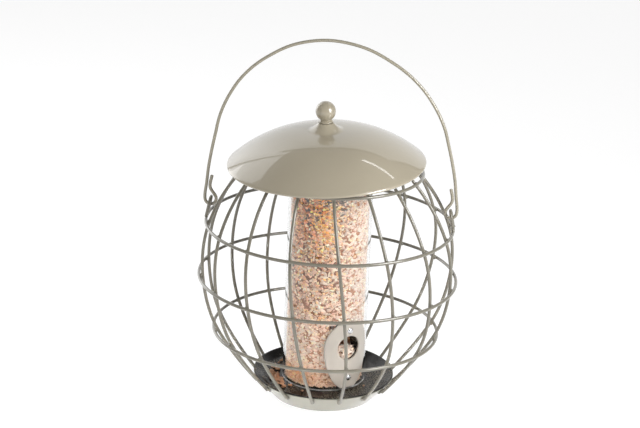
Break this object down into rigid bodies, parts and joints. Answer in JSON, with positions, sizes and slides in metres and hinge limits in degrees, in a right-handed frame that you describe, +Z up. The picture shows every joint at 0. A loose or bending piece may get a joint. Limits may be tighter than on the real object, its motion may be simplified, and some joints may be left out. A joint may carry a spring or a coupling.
{
  "type": "caged bird feeder",
  "caption": "Round wire cage round a clear seed tube on a tray, with a lift-off domed lid and a swinging bail handle.",
  "frame": {"origin": "on the floor under the middle of the base dish", "axes": "+Z up along the tube; the handle is hinged along X; -Y is the front, and the front port faces 38.0 degrees from it towards +X"},
  "size_m": [0.2394, 0.2394, 0.339],
  "materials": {
    "stone_paint": "gloss paint",
    "black_plastic": "gloss",
    "clear_plastic": "clear plastic",
    "seed_mix": "loose seed",
    "bright_steel": "bright"
  },
  "bodies": {
    "cage": {"base_dish": "stone_paint", "seed_tray": "black_plastic", "seed_cone": "black_plastic", "centre_bolt": "bright_steel", "centre_nut": "bright_steel", "seed_tube": "clear_plastic", "seed_fill": "seed_mix", "port_front_plate": "stone_paint", "port_front_hood": "black_plastic", "port_front_rivet_upper": "bright_steel", "port_front_rivet_lower": "bright_steel", "port_rear_plate": "stone_paint", "port_rear_hood": "black_plastic", "port_rear_rivet_upper": "bright_steel", "port_rear_rivet_lower": "bright_steel", "cage_rib_01": "stone_paint", "cage_rib_02": "stone_paint", "cage_rib_03": "stone_paint", "cage_rib_04": "stone_paint", "cage_rib_05": "stone_paint", "cage_rib_06": "stone_paint", "cage_rib_07": "stone_paint", "cage_rib_08": "stone_paint", "cage_rib_09": "stone_paint", "cage_rib_10": "stone_paint", "cage_rib_11": "stone_paint", "cage_rib_12": "stone_paint", "cage_rib_13": "stone_paint", "cage_rib_14": "stone_paint", "cage_rib_15": "stone_paint", "cage_rib_16": "stone_paint", "lower_ring": "stone_paint", "middle_ring": "stone_paint", "upper_ring": "stone_paint", "neck_ring": "stone_paint", "handle_eye_right": "stone_paint", "handle_eye_left": "stone_paint"},
    "handle": {"handle": "stone_paint"},
    "lid": {"lid": "stone_paint", "lid_collar": "stone_paint", "lid_knob": "stone_paint", "knob_washer": "bright_steel", "knob_nut": "bright_steel"}
  },
  "joints": [
    {"name": "handle_swing", "type": "hinge", "parent": "cage", "child": "handle", "pos_m": [0, 0, 0.17799], "axis": [1, 0, 0], "range_deg": [-100, 100]},
    {"name": "lid_lift", "type": "slide", "parent": "cage", "child": "lid", "axis": [0, 0, 1], "range_m": [0, 0.04]}
  ]
}
